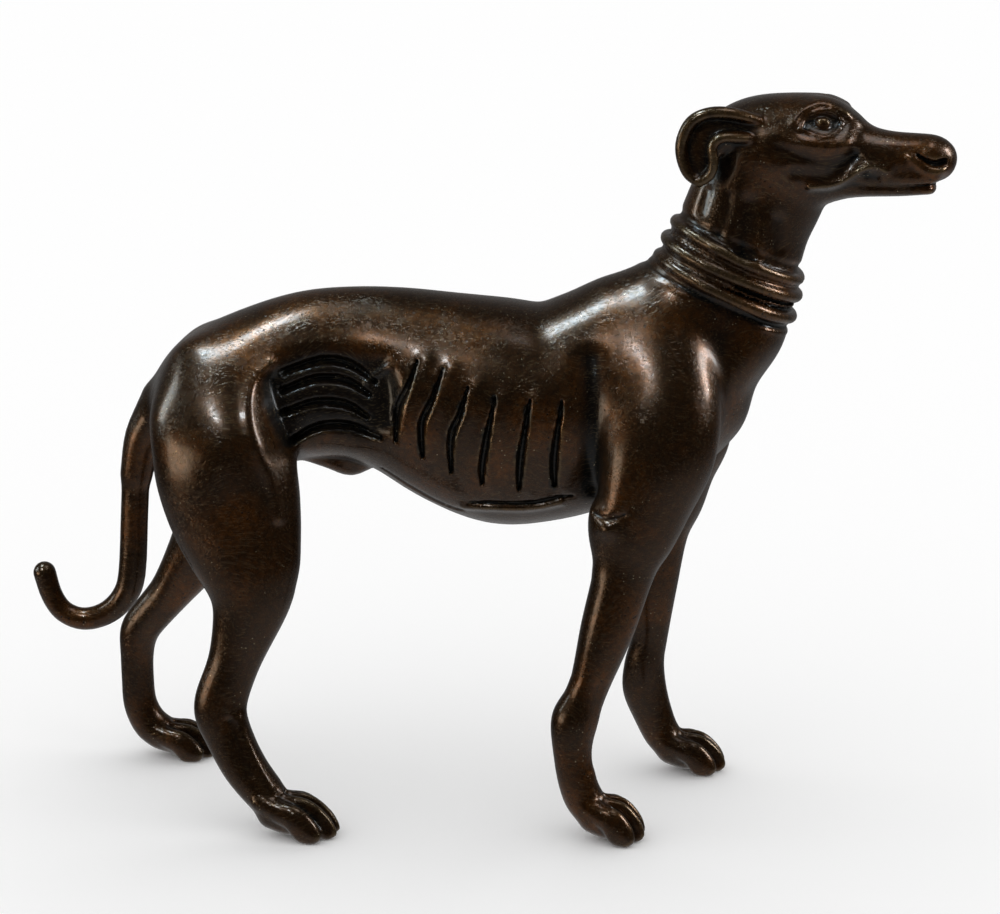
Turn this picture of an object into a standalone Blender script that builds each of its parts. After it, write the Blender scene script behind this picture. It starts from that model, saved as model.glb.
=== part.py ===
"""Cast bronze greyhound statue, standing on its own paws. Metres, +Z up, nose towards +X."""

import math

import bmesh
import bpy
from mathutils import Matrix, Vector

# Driving sizes, in metres
STATUE_HEIGHT = 0.152
COLLAR_WIRE = 0.0027
RIB_GROOVE_WIDTH = 0.0019
RIB_GROOVE_DEPTH = 0.0013
FLANK_GROOVE_WIDTH = 0.0016
FLANK_GROOVE_DEPTH = 0.0013

# The figure's stations are shares of its height, about a millimetre each
SHARES_IN_HEIGHT = 152
SHARE = STATUE_HEIGHT / SHARES_IN_HEIGHT
# The soles lie this far below the plane that the stations are measured from
FLOOR = -0.7

# Casting mesh, in shares
VOXEL = 0.8
BODY_SMOOTHING = 20
DETAIL_SMOOTHING = 3
CAST_TRIANGLES = 5900
RING_SIDES = 24
STEPS_PER_SPAN = 5
COLLAR_STEPS = 48
DOMES = (28, 55, 80)
GROOVE_SIDES = 6
GROOVE_STEPS = 2
GROOVE_DOMES = (45,)
GROOVE_END_TAPER = 0.45

DOG_LEFT = Vector((0, 1, 0))

# A station is x, y, z, then the section's half-sizes towards its front, its back and its side.
# On a mass that runs nose-ward, front is up and back is down.
TRUNK = (
    (-67.0, 0, 86.2, 6.0, 10.0, 9.5),
    (-60, 0, 88.2, 12.2, 14.0, 15.6),
    (-50, 0, 88.2, 17.7, 14.0, 17.2),
    (-40, 0, 88.2, 21.2, 13.4, 15.8),
    (-30, 0, 88.2, 22.3, 13.6, 14.6),
    (-20, 0, 88.2, 22.2, 16.9, 15.6),
    (-10, 0, 88.2, 21.3, 23.2, 17.2),
    (0, 0, 88.2, 20.4, 27.0, 18.6),
    (10, 0, 88.2, 19.3, 26.0, 19.0),
    (20, 0, 88.7, 22.2, 23.2, 18.4),
    (30, 0, 90.2, 24.7, 20.6, 16.8),
    (39, 0, 92.7, 20.8, 16.0, 12.5),
)
NECK = (
    (30, 0, 97.2, 12.5, 13.0, 11.5),
    (37, 0, 104.7, 14.0, 16.2, 12.6),
    (43.3, 0, 111.5, 12.9, 15.0, 12.0),
    (47, 0, 118.2, 13.0, 14.0, 11.2),
    (49.4, 0, 125.2, 12.8, 13.4, 10.8),
    (51.2, 0, 131.2, 12.0, 14.2, 10.6),
    (53.5, 0, 137.2, 10.0, 14.0, 10.4),
)
# The breast runs down from the throat
BREAST = (
    (50, 0, 109.2, 8.9, 10, 9.5),
    (49.8, 0, 103.2, 8.6, 10, 11.0),
    (46.7, 0, 96.7, 7.4, 10, 12.0),
    (42.6, 0, 90.2, 6.0, 10, 11.0),
    (40, 0, 84.2, 5.4, 8, 9.0),
)
SKULL = (
    (47, 0.5, 140.7, 7.3, 8.0, 8.0),
    (52, 0, 140.7, 9.7, 10.5, 11.0),
    (58, -1, 140.7, 10.5, 10.5, 11.3),
    (64, -2, 140.7, 10.2, 10.0, 10.0),
    (68.6, -3, 139.7, 7.4, 8.3, 7.6),
    (73, -3.7, 139.2, 6.0, 6.4, 6.4),
    (78, -4.7, 138.8, 5.5, 5.4, 5.7),
    (83, -5.5, 138.7, 5.4, 4.7, 5.3),
    (86.4, -6.0, 138.6, 5.3, 4.3, 4.9),
    (87.5, -6.2, 138.5, 4.5, 3.8, 4.2),
)
JAW = (
    (59, -1.5, 132.6, 3.0, 5.2, 6.5),
    (66, -2.4, 133.2, 2.4, 3.7, 5.2),
    (72, -3.5, 132.9, 1.6, 2.0, 4.4),
    (80, -4.8, 132.9, 1.8, 1.5, 3.9),
    (86.0, -5.8, 133.1, 1.4, 1.1, 3.4),
)
NEAR_FORELEG = (
    (33, -8, 104.2, 8.5, 10.0, 6.0),
    (34.5, -11.8, 96.2, 9.8, 12.0, 7.4),
    (35.5, -14.5, 88.2, 10.3, 13.0, 8.5),
    (34, -16, 80.2, 10.6, 13.0, 8.4),
    (31, -17, 72.2, 9.8, 11.1, 7.2),
    (28, -17.8, 64.2, 9.0, 9.2, 6.0),
    (26.5, -18.2, 57.2, 6.8, 6.3, 5.0),
    (23, -19, 44.2, 6.0, 5.4, 4.7),
    (19.2, -19.6, 31.2, 4.5, 4.0, 3.8),
    (17.2, -19.8, 25.2, 5.0, 5.2, 4.3),
    (16.8, -20, 18.4, 4.3, 4.4, 3.7),
    (17.6, -19.8, 11.8, 4.2, 4.1, 3.8),
    (19.2, -19.4, 7.2, 4.4, 4.0, 4.0),
    (21.6, -19.4, 4.6, 4.2, 3.4, 4.6),
)
FAR_FORELEG = (
    (32, 8, 104.2, 8.0, 9.5, 6.0),
    (33.5, 11.8, 96.2, 8.8, 11.5, 7.4),
    (35, 14.4, 86.2, 9.4, 12.0, 8.2),
    (36.8, 16, 78.2, 11.0, 12.0, 8.2),
    (35.4, 17.2, 70.2, 9.2, 9.8, 7.0),
    (34.2, 18.2, 62.2, 8.0, 7.6, 6.0),
    (32.9, 19, 55.2, 6.2, 6.2, 5.0),
    (31.2, 19.8, 42.2, 5.6, 5.6, 4.5),
    (30.8, 20.8, 30.2, 4.1, 4.1, 3.8),
    (30.1, 21.2, 25.2, 4.1, 4.7, 4.1),
    (30.1, 21.8, 18.7, 4.7, 5.4, 3.8),
    (31.4, 22.6, 12.8, 4.7, 4.4, 3.8),
    (33.6, 23.2, 7.2, 4.4, 3.8, 4.0),
    (36.2, 23.4, 4.6, 4.2, 3.4, 4.6),
)
NEAR_HINDLEG = (
    (-61, -7.5, 94.2, 8.5, 6.0, 6.5),
    (-58.8, -12.2, 88.2, 13.8, 11.6, 7.6),
    (-57.4, -14.4, 82.2, 15.9, 13.1, 8.4),
    (-55.3, -15.7, 75.2, 15.0, 14.1, 8.8),
    (-53.8, -16.7, 68.2, 14.7, 13.5, 8.2),
    (-52, -17.8, 61.7, 13.4, 12.1, 7.4),
    (-50, -18.8, 55.2, 11.2, 10.2, 6.6),
    (-49.4, -19.4, 48.7, 8.3, 8.1, 5.6),
    (-53, -20.2, 36.2, 5.7, 5.5, 3.9),
    (-56.2, -21, 26.2, 5.8, 5.6, 3.5),
    (-54.6, -21.3, 20.0, 5.3, 5.0, 3.3),
    (-51.2, -21.9, 13.2, 5.0, 4.7, 3.4),
    (-47.2, -22.4, 7.8, 4.8, 4.0, 3.8),
    (-44.6, -22.6, 4.8, 4.2, 3.4, 4.6),
)
FAR_HINDLEG = (
    (-61, 7.5, 94.2, 8.5, 6.0, 6.5),
    (-59, 12.2, 88.2, 13.3, 11.0, 7.6),
    (-59.8, 14.2, 81.2, 14.7, 11.9, 8.4),
    (-60, 15.4, 74.2, 14.2, 12.3, 8.6),
    (-60.5, 16.5, 67.2, 12.7, 11.7, 8.0),
    (-62.2, 17.8, 60.2, 10.9, 9.4, 7.4),
    (-65.2, 18.8, 52.7, 8.5, 7.6, 6.2),
    (-73.4, 20.4, 39.7, 5.2, 5.0, 4.4),
    (-78.2, 21, 33.7, 4.6, 4.6, 3.7),
    (-81.8, 21.6, 28.7, 4.3, 4.6, 3.5),
    (-82.7, 22, 23.2, 3.8, 3.9, 3.4),
    (-82.8, 22.4, 17.2, 3.7, 3.8, 3.4),
    (-82.4, 22.8, 11.0, 3.7, 4.0, 3.5),
    (-80.2, 23.2, 5.8, 4.2, 3.9, 3.8),
    (-77.0, 23.4, 4.0, 3.8, 3.4, 4.4),
)
# The tail is round in section: x, y, z, radius
TAIL = (
    (-70.5, 0, 82.2, 4.2),
    (-74.6, 0, 77.2, 3.5),
    (-76.6, 0, 70.2, 3.2),
    (-77.3, 0, 62.2, 3.1),
    (-78.3, 0, 48.2, 3.1),
    (-80.2, 0, 42.9, 2.9),
    (-84, 0, 39.2, 2.7),
    (-89, 0, 37.7, 2.6),
    (-93.3, 0, 39.2, 2.5),
    (-95.8, 0, 42.8, 2.5),
    (-97.2, 0, 47.8, 2.6),
)
SHEATH = (
    (-41, 0, 76.4, 2.2, 2.5, 2.5),
    (-35.5, 0, 75.2, 2.5, 3.2, 3.0),
    (-31, 0, 74.8, 2.5, 4.2, 3.4),
    (-26, 0, 75.6, 2.5, 2.5, 2.6),
)
# Paws: where the leg ends, where the two middle toes touch down, and the paw's height
PAWS = (
    ((19.6, -19.4, 7.6), (30.6, -19.4), 10.0),
    ((34.0, 23.4, 7.4), (46.8, 24.4), 9.6),
    ((-47.4, -22.6, 7.6), (-32.4, -23.4), 9.8),
    ((-79.6, 23.4, 5.6), (-66.4, 23.6), 8.0),
)
TOE_SPACING = 2.8
TOE_RADIUS = 2.4
# Each toe: its lane across the paw, how far it reaches and how high it rises
TOES = ((-1.5, 0.82, 0.92), (-0.5, 1, 1), (0.5, 1, 1), (1.5, 0.84, 0.92))
# Along a toe: way to the touch-down point, spread from the lanes, share of the paw's height,
# then front, back and side sizes in toe radii
TOE_STATIONS = (
    (0, 0.45, 0.88, 1, 1, 0.9),
    (0.35, 0.75, 0.76, 1, 1.1, 0.85),
    (0.62, 0.95, 0.58, 1, 1.3, 0.85),
    (0.84, 1, 0.3, 1, 1.45, 0.8),
    (0.95, 1, 0.17, 0.75, 0.95, 0.7),
)
# Along the pad: way to the touch-down point, height, then front, back and side sizes
PAD_STATIONS = (
    (0.14, 4.4, 3.4, 3.0, 3.5),
    (0.4, 3.2, 2.9, 3.0, 3.9),
    (0.7, 2.4, 1.8, 2.2, 4.4),
)
# A folded ear: outer rim, inner fold and the web between them, on the dog's left
EAR_RIM = (
    (52, 9.8, 146.4, 1.3, 1.3, 1.6),
    (47, 10.6, 147.6, 1.3, 1.4, 1.6),
    (42, 10.8, 147.6, 1.2, 1.4, 1.5),
    (38.4, 10.6, 145.8, 1.2, 1.4, 1.5),
    (36.8, 10.2, 142, 1.2, 1.4, 1.5),
    (37.8, 10.2, 137.6, 1.2, 1.2, 1.5),
    (39.6, 10.6, 134.6, 1.2, 1.2, 1.5),
)
EAR_FOLD = (
    (53, 9.8, 142.8, 1.4, 1.2, 1.4),
    (48, 11, 143.4, 1.5, 1.2, 1.6),
    (44, 11.8, 143.2, 1.4, 1.3, 1.6),
    (42.4, 12, 140.6, 1.2, 1.2, 1.5),
    (42.6, 11.6, 137, 1.2, 1.2, 1.4),
    (40.6, 11, 134.6, 1.2, 1.2, 1.3),
)
EAR_WEB = (
    (52, 8.5, 144, 3.0, 3.0, 1.6),
    (46, 9.2, 143.6, 3.2, 3.2, 1.5),
    (41, 9.2, 141, 3.0, 3.0, 1.4),
    (40.2, 9.4, 137.5, 2.4, 2.6, 1.3),
)
# The turned head brings the far ear forward and lower
FAR_EAR_SHIFT = (5.5, 0.5, -3.0)
# Each collar ring lies on a slope: its back end and its front end, as x and z
COLLAR_RINGS = (
    ((35.1, 125.2), (61.2, 113.5)),
    ((33.1, 122), (60.8, 110)),
    ((31.8, 118.4), (59.9, 105.8)),
)
COLLAR_WIDTH_TO_LENGTH = 0.88

# Carving: each groove runs from its first point to its last over the skin, as x and z
RIB_GROOVES = (
    ((-15.3, 98.5), (-17.4, 92.8), (-19.4, 88.2), (-20.0, 81.5)),
    ((-10.1, 97.0), (-12.4, 90.4), (-14.4, 85.7), (-14.5, 78.5)),
    ((-4.9, 93.8), (-6.6, 87.9), (-8.4, 83.3), (-8.7, 75.5)),
    ((0.6, 91.9), (-0.9, 84.5), (-2.1, 77.7), (-2.4, 73.3)),
    ((7.6, 91.8), (6.6, 85.1), (5.6, 78.4), (5.1, 72.2)),
    ((14.1, 91.7), (13.1, 84.8), (12.4, 78.1), (12.4, 73.2)),
)
FLANK_GROOVES = (
    ((-42.9, 95.2), (-35.2, 97.4), (-29.2, 96.5), (-24.2, 93.3)),
    ((-43.2, 91.4), (-36.3, 93.7), (-30.2, 93.2), (-25.5, 90.6)),
    ((-42.8, 87.0), (-36.4, 88.9), (-30.3, 88.4), (-26.0, 86.1)),
    ((-41.1, 81.2), (-36.0, 83.8), (-29.9, 84.0), (-23.3, 81.9)),
)
FACE_GROOVE_WIDTH = 0.0011
FACE_GROOVE_DEPTH = 0.0009
FACE_GROOVES = (
    ((60, 145.8), (62, 147.8), (65, 148.4), (67.6, 146.8)),
    ((61.4, 143.8), (64, 142.8), (67, 143.8)),
    ((73.4, 134.5), (79, 134.6), (85.5, 134.8)),
    ((83, 141), (85, 139.4), (87, 139.6)),
)


def clear_scene():
    for item in list(bpy.data.objects):
        bpy.data.objects.remove(item, do_unlink=True)


def new_collection(name):
    collection = bpy.data.collections.new(name)
    bpy.context.scene.collection.children.link(collection)
    return collection


def bronze_material():
    """Dark brown patina over bronze."""
    material = bpy.data.materials.new("patinated bronze")
    material.use_nodes = True
    shader = material.node_tree.nodes["Principled BSDF"]
    shader.inputs["Base Color"].default_value = (0.058, 0.032, 0.018, 1)
    shader.inputs["Metallic"].default_value = 1.0
    shader.inputs["Roughness"].default_value = 0.32
    return material


def smooth_path(stations, steps):
    """Stations on a Catmull-Rom curve through the given ones."""
    rows = [Vector(row) for row in stations]
    rows = [2 * rows[0] - rows[1]] + rows + [2 * rows[-1] - rows[-2]]
    path = []
    for before, start, end, after in zip(rows, rows[1:], rows[2:], rows[3:]):
        for step in range(steps):
            t = step / steps
            path.append(
                start
                + (end - before) * t / 2
                + (2 * before - 5 * start + 4 * end - after) * t**2 / 2
                + (3 * start - before - 3 * end + after) * t**3 / 2
            )
    path.append(rows[-2])
    return path


def round_stations(stations):
    """x, y, z, radius made into full stations."""
    return [(x, y, z, radius, radius, radius) for x, y, z, radius in stations]


def ring(form, sides, centre, front, side, front_size, back_size, side_size):
    """One closed section of a mass, as bmesh vertices."""
    points = []
    for index in range(sides):
        angle = 2 * math.pi * index / sides
        reach = front_size if math.cos(angle) > 0 else back_size
        offset = front * reach * math.cos(angle) + side * side_size * math.sin(angle)
        points.append(form.verts.new((centre + offset) * SHARE))
    return points


def bridge(form, first, second):
    for index in range(len(first)):
        after = (index + 1) % len(first)
        form.faces.new((first[index], first[after], second[after], second[index]))


def cap(form, points, tip):
    for index in range(len(points)):
        form.faces.new((points[index], tip, points[(index + 1) % len(points)]))


def loft(form, stations, side=DOG_LEFT, sides=RING_SIDES, steps=STEPS_PER_SPAN, domes=DOMES):
    """A mass with oval sections along a smooth spine, domed at both ends."""
    path = smooth_path(stations, steps)
    centres = [Vector(row[:3]) for row in path]
    rings = []
    last = len(path) - 1
    for index, row in enumerate(path):
        along = centres[min(index + 1, last)] - centres[max(index - 1, 0)]
        along.normalize()
        across = (side - along * side.dot(along)).normalized()
        front = along.cross(across)
        sizes = [max(size, 0.05) for size in row[3:]]
        dome = min(sizes)
        if index == 0:
            for turn in reversed(domes):
                lean = math.radians(turn)
                middle = centres[0] - along * dome * math.sin(lean)
                rings.append(ring(form, sides, middle, front, across, *[s * math.cos(lean) for s in sizes]))
            first_tip = form.verts.new((centres[0] - along * dome) * SHARE)
        rings.append(ring(form, sides, centres[index], front, across, *sizes))
        if index == last:
            for turn in domes:
                lean = math.radians(turn)
                middle = centres[last] + along * dome * math.sin(lean)
                rings.append(ring(form, sides, middle, front, across, *[s * math.cos(lean) for s in sizes]))
            last_tip = form.verts.new((centres[last] + along * dome) * SHARE)
    for first, second in zip(rings, rings[1:]):
        bridge(form, first, second)
    cap(form, rings[0][::-1], first_tip)
    cap(form, rings[-1], last_tip)


def collar_ring(form, back_end, front_end):
    """A round wire closed on an oval that lies on a slope."""
    start = Vector((back_end[0], 0, back_end[1]))
    end = Vector((front_end[0], 0, front_end[1]))
    wire = COLLAR_WIRE / SHARE / 2
    slope = (end - start).normalized()
    middle = (start + end) / 2
    length = (end - start).length / 2 - wire / 2
    width = length * COLLAR_WIDTH_TO_LENGTH
    upright = slope.cross(DOG_LEFT)
    rings = []
    for index in range(COLLAR_STEPS):
        angle = 2 * math.pi * index / COLLAR_STEPS
        centre = middle + slope * length * math.cos(angle) + DOG_LEFT * width * math.sin(angle)
        outward = (slope * width * math.cos(angle) + DOG_LEFT * length * math.sin(angle)).normalized()
        rings.append(ring(form, RING_SIDES, centre, outward, upright, wire, wire, wire))
    for index, section in enumerate(rings):
        bridge(form, section, rings[(index + 1) % COLLAR_STEPS])


def paw(form, heel, touch, height):
    """Four toes that fan from the end of the leg to the ground, over one pad."""
    heel = Vector(heel)
    forward = Vector((touch[0], touch[1], heel.z)) - heel
    across = Vector((-forward.y, forward.x, 0)).normalized()

    def station(way, lane, rise, sizes):
        place = heel + forward * way + across * lane * TOE_SPACING
        return (place.x, place.y, rise + FLOOR, *sizes)

    for lane, reach, rise in TOES:
        toe = []
        for way, spread, share, *sizes in TOE_STATIONS:
            sizes = [TOE_RADIUS * size for size in sizes]
            toe.append(station(way * reach, lane * spread, height * rise * share, sizes))
        loft(form, toe, across)
    loft(form, [station(way, 0, rise, sizes) for way, rise, *sizes in PAD_STATIONS], across)


def ear(form, sign, shift=(0, 0, 0)):
    forward, outward, upward = shift
    for strip in (EAR_RIM, EAR_FOLD, EAR_WEB):
        loft(form, [(x + forward, sign * (y + outward), z + upward, *rest) for x, y, z, *rest in strip])


def body_masses(form):
    for mass in (TRUNK, NECK, BREAST, SKULL):
        loft(form, mass)
    for limb in (NEAR_FORELEG, FAR_FORELEG, NEAR_HINDLEG, FAR_HINDLEG):
        loft(form, limb)


def details(form):
    for mass in (JAW, SHEATH, round_stations(TAIL)):
        loft(form, mass)
    for heel, touch, height in PAWS:
        paw(form, heel, touch, height)
    ear(form, -1)
    ear(form, 1, FAR_EAR_SHIFT)
    for back_end, front_end in COLLAR_RINGS:
        collar_ring(form, back_end, front_end)


def evaluated_mesh(item):
    bpy.context.view_layer.update()
    graph = bpy.context.evaluated_depsgraph_get()
    return bpy.data.meshes.new_from_object(item.evaluated_get(graph))


def settle(item):
    """Applies the item's modifiers."""
    mesh = evaluated_mesh(item)
    item.modifiers.clear()
    item.data = mesh


def fuse(figure, add_masses, passes):
    """Adds overlapping closed masses to the figure, makes one skin of them all and softens it."""
    form = bmesh.new()
    add_masses(form)
    bmesh.ops.recalc_face_normals(form, faces=form.faces)
    form.from_mesh(figure.data)
    form.to_mesh(figure.data)
    form.free()
    skin = figure.modifiers.new("one skin", "REMESH")
    skin.mode = "VOXEL"
    skin.voxel_size = VOXEL * SHARE
    soften = figure.modifiers.new("soften", "SMOOTH")
    soften.factor = 0.5
    soften.iterations = passes
    settle(figure)


def thin_out(figure):
    triangles = sum(len(face.vertices) - 2 for face in figure.data.polygons)
    thin = figure.modifiers.new("thin out", "DECIMATE")
    thin.ratio = CAST_TRIANGLES / triangles
    settle(figure)


def skin_point(figure, x, z, sign):
    """Where the figure's side is met by a line along Y, in shares."""
    start = Vector((x, sign * 60, z)) * SHARE
    found, place, _, _ = figure.ray_cast(start, Vector((0, -sign, 0)))
    if not found:
        raise ValueError(f"no skin at {x}, {z}")
    return place / SHARE


def groove(form, figure, line, width, depth, sign):
    """A tapered cut along a line over the skin."""
    half = width / SHARE / 2
    deep = depth / SHARE
    last = len(line) - 1
    stations = []
    for index, (x, z) in enumerate(line):
        taper = GROOVE_END_TAPER if index in (0, last) else 1
        place = skin_point(figure, x, z, sign)
        stations.append((*place, half * taper, half * taper, deep * taper))
    loft(form, stations, sides=GROOVE_SIDES, steps=GROOVE_STEPS, domes=GROOVE_DOMES)


def carving(figure, collection):
    """The rib, flank and face grooves of both sides, as one cutter."""
    form = bmesh.new()
    for sign in (-1, 1):
        for line in RIB_GROOVES:
            groove(form, figure, line, RIB_GROOVE_WIDTH, RIB_GROOVE_DEPTH, sign)
        for line in FLANK_GROOVES:
            groove(form, figure, line, FLANK_GROOVE_WIDTH, FLANK_GROOVE_DEPTH, sign)
        for line in FACE_GROOVES:
            groove(form, figure, line, FACE_GROOVE_WIDTH, FACE_GROOVE_DEPTH, sign)
    bmesh.ops.recalc_face_normals(form, faces=form.faces)
    mesh = bpy.data.meshes.new("carving")
    form.to_mesh(mesh)
    form.free()
    cutter = bpy.data.objects.new("carving", mesh)
    return as_cutter(cutter, collection)


def as_cutter(cutter, collection):
    collection.objects.link(cutter)
    cutter.hide_render = True
    cutter.display_type = "WIRE"
    return cutter


def ground_block(collection):
    """Everything below the floor, which leaves the flat soles."""
    form = bmesh.new()
    size = 2 * STATUE_HEIGHT
    place = Matrix.Translation((0, 0, FLOOR * SHARE - size / 2))
    bmesh.ops.create_cube(form, size=size, matrix=place)
    mesh = bpy.data.meshes.new("ground block")
    form.to_mesh(mesh)
    form.free()
    return as_cutter(bpy.data.objects.new("ground_block", mesh), collection)


def cut(figure, cutter):
    modifier = figure.modifiers.new(cutter.name, "BOOLEAN")
    modifier.operation = "DIFFERENCE"
    modifier.object = cutter


def stand(figure):
    """Centres the figure's box over the origin and brings its soles to the floor."""
    xs = [point.co.x for point in figure.data.vertices]
    ys = [point.co.y for point in figure.data.vertices]
    middle = Vector(((min(xs) + max(xs)) / 2, (min(ys) + max(ys)) / 2, FLOOR * SHARE))
    figure.data.transform(Matrix.Translation(-middle))


def main():
    clear_scene()
    statue = new_collection("greyhound statue")
    cutters = new_collection("cutters")
    figure = bpy.data.objects.new("greyhound", bpy.data.meshes.new("greyhound"))
    statue.objects.link(figure)
    fuse(figure, body_masses, BODY_SMOOTHING)
    fuse(figure, details, DETAIL_SMOOTHING)
    thin_out(figure)
    cut(figure, carving(figure, cutters))
    cut(figure, ground_block(cutters))
    settle(figure)
    stand(figure)
    figure.data.materials.clear()
    figure.data.materials.append(bronze_material())
    figure.data.shade_smooth()


main()
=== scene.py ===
import math

import bpy
import numpy as np
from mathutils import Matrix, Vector


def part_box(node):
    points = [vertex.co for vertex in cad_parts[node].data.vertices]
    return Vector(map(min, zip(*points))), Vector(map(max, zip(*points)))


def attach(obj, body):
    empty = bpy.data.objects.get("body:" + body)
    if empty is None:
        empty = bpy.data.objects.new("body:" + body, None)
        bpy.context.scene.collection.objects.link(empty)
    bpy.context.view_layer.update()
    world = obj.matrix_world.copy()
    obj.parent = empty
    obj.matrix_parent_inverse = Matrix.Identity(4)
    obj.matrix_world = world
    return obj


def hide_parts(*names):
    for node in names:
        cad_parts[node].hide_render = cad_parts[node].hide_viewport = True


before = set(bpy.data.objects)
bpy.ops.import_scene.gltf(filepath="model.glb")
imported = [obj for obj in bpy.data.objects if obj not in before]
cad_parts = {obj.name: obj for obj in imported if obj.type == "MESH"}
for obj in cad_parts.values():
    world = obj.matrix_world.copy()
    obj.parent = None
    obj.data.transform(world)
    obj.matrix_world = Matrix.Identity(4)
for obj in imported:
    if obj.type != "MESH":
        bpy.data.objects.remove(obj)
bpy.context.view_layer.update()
print("frame loaded")

mm = 0.001

# Modelling clay: a block of grid points, each with its distance to the skin in mm, negative inside.
# x runs to the nose, y to the dog's left, z up from the floor.
clayBlock = {
    "grain": 0.42,
    "quickGrain": 0.75,
    "low": (-102.0, -34.0, -2.5),
    "high": (93.5, 34.0, 155.0),
    "trusted": 4.0,  # distances further from the skin than this aren't used
    "triangles": 185000,
}
floor = -0.7  # the soles lie this far below the measuring plane


class Clay:
    def __init__(self, grain):
        self.grain = grain
        ends = zip(clayBlock["low"], clayBlock["high"])
        self.axes = [np.arange(a, b + grain, grain, dtype=np.float32) for a, b in ends]
        self.field = np.full([len(axis) for axis in self.axes], clayBlock["trusted"], np.float32)

    def window(self, low, high):
        slices = []
        for axis, a, b in zip(self.axes, low, high):
            first = max(int(np.searchsorted(axis, a)) - 1, 0)
            last = min(int(np.searchsorted(axis, b)) + 1, len(axis))
            slices.append(slice(first, max(last, first + 1)))
        return tuple(slices)

    def coordinates(self, window):
        x, y, z = (axis[part] for axis, part in zip(self.axes, window))
        return x[:, None, None], y[None, :, None], z[None, None, :]


def smoothMin(a, b, blend):
    near = np.maximum(blend - np.abs(a - b), 0.0) / blend
    return np.minimum(a, b) - near**3 * blend / 6


def smoothStep(low, high, value):
    t = np.clip((value - low) / (high - low), 0, 1)
    return t * t * (3 - 2 * t)


def smoothPath(stations, steps):
    rows = np.asarray(stations, float)
    rows = np.vstack([2 * rows[0] - rows[1], rows, 2 * rows[-1] - rows[-2]])
    path = []
    for before, start, end, after in zip(rows, rows[1:], rows[2:], rows[3:]):
        for t in np.arange(steps) / steps:
            bend = 2 * before - 5 * start + 4 * end - after
            twist = 3 * start - before - 3 * end + after
            path.append(start + (end - before) * t / 2 + bend * t**2 / 2 + twist * t**3 / 2)
    path.append(rows[-2])
    return np.array(path)


def massDistance(clay, stations, side, steps):
    # a station is x, y, z and the oval's half-sizes to its front, back and side
    path = smoothPath(stations, steps)
    centres = path[:, :3]
    sizes = np.maximum(path[:, 3:], 0.05)
    along = np.gradient(centres, axis=0)
    along /= np.linalg.norm(along, axis=1)[:, None]
    across = np.asarray(side, float) - (along @ np.asarray(side, float))[:, None] * along
    across /= np.linalg.norm(across, axis=1)[:, None]
    front = np.cross(along, across)
    reach = sizes.max(1) + clayBlock["trusted"]
    outer = clay.window((centres - reach[:, None]).min(0), (centres + reach[:, None]).max(0))
    distance = np.full([part.stop - part.start for part in outer], clayBlock["trusted"] * 2, np.float32)
    for i in range(len(centres) - 1):
        r = max(reach[i], reach[i + 1])
        pair = centres[i : i + 2]
        window = clay.window(pair.min(0) - r, pair.max(0) + r)
        window = tuple(slice(max(a.start, b.start), min(a.stop, b.stop)) for a, b in zip(window, outer))
        x, y, z = clay.coordinates(window)
        span = centres[i + 1] - centres[i]
        length = float(np.linalg.norm(span))
        x, y, z = x - centres[i][0], y - centres[i][1], z - centres[i][2]
        t = np.clip((x * span[0] + y * span[1] + z * span[2]) / length**2, 0, 1)
        x, y, z = x - t * span[0], y - t * span[1], z - t * span[2]

        def measure(v):
            return (x * v[0] + y * v[1] + z * v[2]).astype(np.float32)

        u = measure(front[i]) * (1 - t) + measure(front[i + 1]) * t
        s = measure(across[i]) * (1 - t) + measure(across[i + 1]) * t
        end = measure(span / length)
        a, b, c = (sizes[i][k] + t * (sizes[i + 1][k] - sizes[i][k]) for k in range(3))
        half = np.where(u > 0, a, b)
        dome = np.minimum(np.minimum(a, b), c)
        q = np.sqrt((u / half) ** 2 + (s / c) ** 2 + (end / dome) ** 2)
        slope = np.sqrt((u / half**2) ** 2 + (s / c**2) ** 2 + (end / dome**2) ** 2)
        d = np.where(q < 1e-3, -dome, (q - 1) * q / np.maximum(slope, 1e-6))
        inner = tuple(slice(a.start - b.start, a.stop - b.start) for a, b in zip(window, outer))
        distance[inner] = np.minimum(distance[inner], d)
    return outer, distance


def addMass(clay, stations, blend, side=(0, 1, 0), steps=4):
    window, distance = massDistance(clay, stations, side, steps)
    clay.field[window] = smoothMin(clay.field[window], distance, blend)


def cutMass(clay, stations, blend, side=(0, 1, 0), steps=4):
    window, distance = massDistance(clay, stations, side, steps)
    clay.field[window] = -smoothMin(-clay.field[window], distance, blend)


def soften(field, cells):
    # repeated quarter-half-quarter averaging spreads by the given number of cells
    for _ in range(max(1, round(2 * cells**2))):
        for axis in range(3):
            f = np.moveaxis(field, axis, 0)
            middle = f[1:-1] * 0.5
            middle += f[:-2] * 0.25
            middle += f[2:] * 0.25
            f[1:-1] = middle
    return field


def lineDistance(clay, line, widths):
    # distance from each point of the x-z plane to a line, in widths of the line there
    x = clay.axes[0][:, None]
    z = clay.axes[2][None, :]
    rows = np.column_stack([np.asarray(line, float), widths])
    path = smoothPath(rows, 4) if len(rows) > 1 else np.vstack([rows, rows + (0.01, 0, 0)])
    best = np.full((x.shape[0], z.shape[1]), 99.0, np.float32)
    for start, end in zip(path, path[1:]):
        dx, dz = end[0] - start[0], end[1] - start[1]
        t = np.clip(((x - start[0]) * dx + (z - start[1]) * dz) / (dx * dx + dz * dz + 1e-9), 0, 1)
        width = np.maximum(start[2] + t * (end[2] - start[2]), 0.05)
        away = np.hypot(x - start[0] - t * dx, z - start[1] - t * dz) / width
        best = np.minimum(best, away)
    return best


def sideWeight(clay, side, split=0.0, soft=2.0):
    # side -1 is the near flank, 1 the far one, 0 both
    y = clay.axes[1] - split
    if side == 0:
        return np.ones_like(y)
    return smoothStep(0, soft, y * side)


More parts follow.
